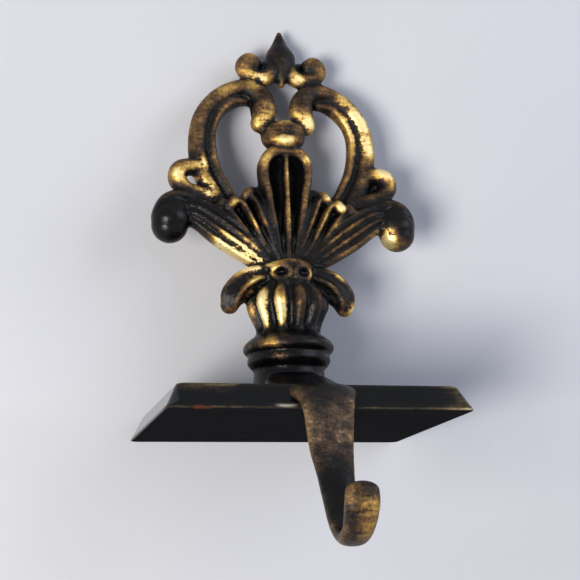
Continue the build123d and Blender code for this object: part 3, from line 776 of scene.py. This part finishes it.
# Spots that press the rub down to black and make the surface smoother: black lacquer, and painted
# shade on the strap's shadowed stretch
BLACK_AND_SHADE_SPOTS = [
    (-45.0, 0.0, 79.0, 9.0, 0.9), (46.0, 0.0, 81.0, 7.5, 0.9), (0.0, 0.0, 154.0, 8.0, 0.45),
    (0.0, -56.0, -26.0, 7.0, 0.7), (0.0, -62.0, -34.0, 8.0, 0.5), (-5.5, -80.0, -38.0, 3.0, 0.8),
    (1.0, -80.0, -27.5, 4.6, 0.95), (0.0, -10.0, 22.0, 14.0, 0.5), (12.0, -4.0, 42.0, 9.0, 0.5),
    (-27.0, 0.0, 80.0, 6.0, 0.3), (-4.1, -6.0, 58.0, 1.7, 1.2), (4.1, -6.0, 58.0, 1.7, 1.2),
    (-2.0, -40.0, 9.0, 9.0, 0.6), (-5.0, -50.0, -2.0, 4.0, 0.3), (-9.0, 0.0, 144.5, 2.2, 0.8),
    (8.0, 0.0, 144.5, 2.2, 0.8), (-22.0, 0.0, 52.0, 6.0, 0.4), (10.0, -10.0, 30.0, 8.0, 0.4),
]


class HookStage(bpy.types.Operator):
    """Sets up the pale table that the hook lies on, the soft lamps and the camera"""
    bl_idname = "stocking_hook.stage"
    bl_label = "Table, lamps and camera"

    def execute(self, context):
        build_stage(context.scene)
        return {"FINISHED"}


class HookCasting(bpy.types.Operator):
    """Builds the ornament, stem, arm and hook as one melted casting"""
    bl_idname = "stocking_hook.casting"
    bl_label = "Ornament, stem and arm"

    def execute(self, context):
        right = side_forms()
        shapes = right + [mirrored(s) for s in right] + middle_forms() + [ear_web()] + arm_forms()
        made = melted("ornament_and_arm", shapes, context.scene.stocking_hook.melt)
        mesh = made.data
        pairs = edge_pairs(mesh)
        write_places(mesh, averaged(coordinates(mesh), pairs, SMOOTHING_ROUNDS))
        places = coordinates(mesh)
        write_value(mesh, "proud", raised(mesh, PROUD_ROUNDS, PROUD_REACH))
        write_value(mesh, "gold", np.clip(blobs(places, GOLD_SPOTS), 0, 1.1))
        write_value(mesh, "brown", np.clip(blobs(places, BROWN_SPOTS), 0, 1))
        # The smooth value is black lacquer, with painted shade on the strap's shadowed stretch
        write_value(mesh, "smooth", np.clip(blobs(places, BLACK_AND_SHADE_SPOTS), 0, 1))
        write_value(mesh, "rough", np.clip(blobs(places, ARM_SPOTS), 0, 1))
        write_value(mesh, "dark_panel", np.clip(blobs(places, DARK_PANEL_SPOTS) * (places[:, 1] > -1.6), 0, 1))
        mesh.materials.append(cast_finish(context.scene.stocking_hook.gold))
        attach(made, "root")
        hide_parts(CASTING)
        return {"FINISHED"}


class HookPlate(bpy.types.Operator):
    """Builds the bevelled foot plate"""
    bl_idname = "stocking_hook.plate"
    bl_label = "Foot plate"

    def execute(self, context):
        made = build_plate()
        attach(made, "root")
        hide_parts(CASTING)
        return {"FINISHED"}


def build_plate():
    """The plate: its outline is a rectangle with round corners, carried from the middle of the
    top over the bevel to the middle of the underside. A ring at inset i has the half sizes
    W - i and D - i, and its corner radius is R - i / 10, but at least 1.4.
    """
    top = PLATE_TOP
    inset_z = [(43.0, top), (38.0, top), (30.0, top), (20.0, top), (12.0, top), (8.0, top),
               (6.4, top), (5.7, top - 0.05), (5.1, top - 0.22), (4.65, top - 0.55),
               (4.25, top - 1.1), (3.6, top - 2.3), (2.4, top - 4.8), (1.2, top - 7.2),
               (0.45, 1.1), (0.18, 0.6), (0.12, 0.28), (0.3, 0.08), (0.8, 0.0), (2.0, 0.0),
               (4.0, 0.0), (8.0, 0.0), (16.0, 0.0), (26.0, 0.0), (36.0, 0.0), (43.0, 0.0)]
    stops = np.array(inset_z)
    lengths = np.concatenate([[0], np.cumsum(np.hypot(*np.diff(stops, axis=0).T))])
    steps = np.arange(len(stops))
    fine = np.interp(np.linspace(0, lengths[-1], PLATE_ROWS), lengths, steps)
    fine = np.unique(np.concatenate([fine, steps]))
    inset_z = np.column_stack([np.interp(fine, steps, stops[:, k]) for k in (0, 1)])
    rings = []
    for inset, z in inset_z:
        w, d = PLATE_HALF_WIDTH - inset, PLATE_HALF_DEPTH - inset
        r = max(PLATE_CORNER - 0.1 * inset, 1.4)
        line = []
        corners = ((w - r, d - r), (-w + r, d - r), (-w + r, -d + r), (w - r, -d + r))
        for k, (cx, cy) in enumerate(corners):
            a = np.linspace(k * math.pi / 2, (k + 1) * math.pi / 2, POINTS_PER_CORNER)
            line.append(np.stack([cx + r * np.cos(a), cy + r * np.sin(a)], axis=-1))
        full = []
        for k in range(4):
            full.append(line[k])
            start, end = line[k][-1], line[(k + 1) % 4][0]
            t = np.linspace(0, 1, POINTS_PER_SIDE)[1:-1, None]
            full.append(start + (end - start) * t)
        outline = np.vstack(full)
        rings.append(np.column_stack([outline, np.full(len(outline), z)]))
    verts, quads, tris = close_grid(np.array(rings)[::-1])
    made = new_object("foot_plate", verts, quads.tolist() + tris.tolist())
    mesh = made.data
    mesh.polygons.foreach_set("use_smooth", np.ones(len(mesh.polygons), dtype=bool))
    places = coordinates(mesh)
    x, y, z = places.T
    # Lighter lacquer along the top and lower front edges: partly rubbed lacquer, partly a painted
    # edge highlight; the right front corner is rubbed
    top_edge_rub_and_highlight = np.exp(-((z - top + 0.4) / 0.7) ** 2) * (y < PLATE_FRONT)
    low_edge_rub_and_highlight = np.exp(-((z - 0.5) / 0.5) ** 2) * (y < PLATE_FRONT)
    corner_wear = np.exp(-((x - 55.0) / 10.0) ** 2 - ((y + 42.0) / 9.0) ** 2)
    left_rub = (np.exp(-((x + 40.0) / 16.0) ** 2) * np.exp(-((z - 8.0) / 2.2) ** 2)
                * (y < PLATE_FRONT))
    left_side = (np.clip((-x - 50.2) / 0.6, 0, 1) * np.clip((z - 0.9) / 0.6, 0, 1)
                 * np.clip((top - z) / 0.6, 0, 1))
    # The worn value is partly painted edge highlight, along the top and lower front edges
    worn = 0.35 * top_edge_rub_and_highlight + 0.60 * low_edge_rub_and_highlight + 0.75 * corner_wear + 0.5 * left_rub
    under = (z < 0.05) * 1.0
    write_value(mesh, "worn", worn * (1 - under))
    write_value(mesh, "rust", blobs(places, RUST_SPOTS))
    # A painted highlight: a pale arc on the lower front edge, left of the arm, in a pale metal
    # colour
    aside = x + 13.5
    dip = (z - 1.1 - 0.02 * aside ** 2) / 0.45
    painted_glint = np.exp(-(dip ** 2) - (aside / 3.2) ** 4) * (y < -40)
    write_value(mesh, "bare", 0.85 * painted_glint)
    write_value(mesh, "under", under)
    write_value(mesh, "sleek", left_side * (y > -43))
    mesh.materials.append(plate_finish())
    return made


class HookSettings(bpy.types.PropertyGroup):
    """Sizes, colours and lamp powers that a user would change"""
    melt: bpy.props.FloatProperty(
        name="Melt size", description="Grid size at which the cast forms run together",
        default=0.00065, min=0.0003, max=0.002, precision=5, unit="LENGTH", subtype="DISTANCE")
    gold: bpy.props.FloatProperty(
        name="Gold rub", description="How much gold is left on the rubbed places",
        default=0.78, min=0.0, max=1.5, subtype="FACTOR")
    table_colour: bpy.props.FloatVectorProperty(
        name="Table colour", description="The paler of the tabletop's two clouded greys",
        default=linear("#d6d7dc"), size=4, min=0.0, max=1.0, subtype="COLOR")
    window_power: bpy.props.FloatProperty(
        name="Window lamp", description="Power of the lamp at the lower left front",
        default=21.0, min=0.0, unit="POWER")
    fill_power: bpy.props.FloatProperty(
        name="Fill lamp", description="Power of the soft lamp at the right",
        default=9.0, min=0.0, unit="POWER")


class HookPanel(bpy.types.Panel):
    """Lists the pieces of the stocking hook"""
    bl_idname = "VIEW3D_PT_stocking_hook"
    bl_label = "Stocking Hook"
    bl_space_type = "VIEW_3D"
    bl_region_type = "UI"
    bl_category = "Stocking Hook"

    def draw(self, context):
        layout = self.layout
        for name in ("melt", "gold", "table_colour", "window_power", "fill_power"):
            layout.prop(context.scene.stocking_hook, name)
        for operator in (HookStage, HookPlate, HookCasting):
            layout.operator(operator.bl_idname)


CLASSES = (HookSettings, HookStage, HookPlate, HookCasting, HookPanel)


def register():
    """Registers the classes and the settings."""
    for item in CLASSES:
        bpy.utils.register_class(item)
    bpy.types.Scene.stocking_hook = bpy.props.PointerProperty(type=HookSettings)


def unregister():
    """Takes the settings and the classes away again."""
    del bpy.types.Scene.stocking_hook
    for item in reversed(CLASSES):
        bpy.utils.unregister_class(item)


def main():
    """Builds everything in order."""
    register()
    bpy.ops.stocking_hook.stage()
    bpy.ops.stocking_hook.plate()
    bpy.ops.stocking_hook.casting()
    bpy.context.view_layer.update()


if __name__ == "__main__":
    main()
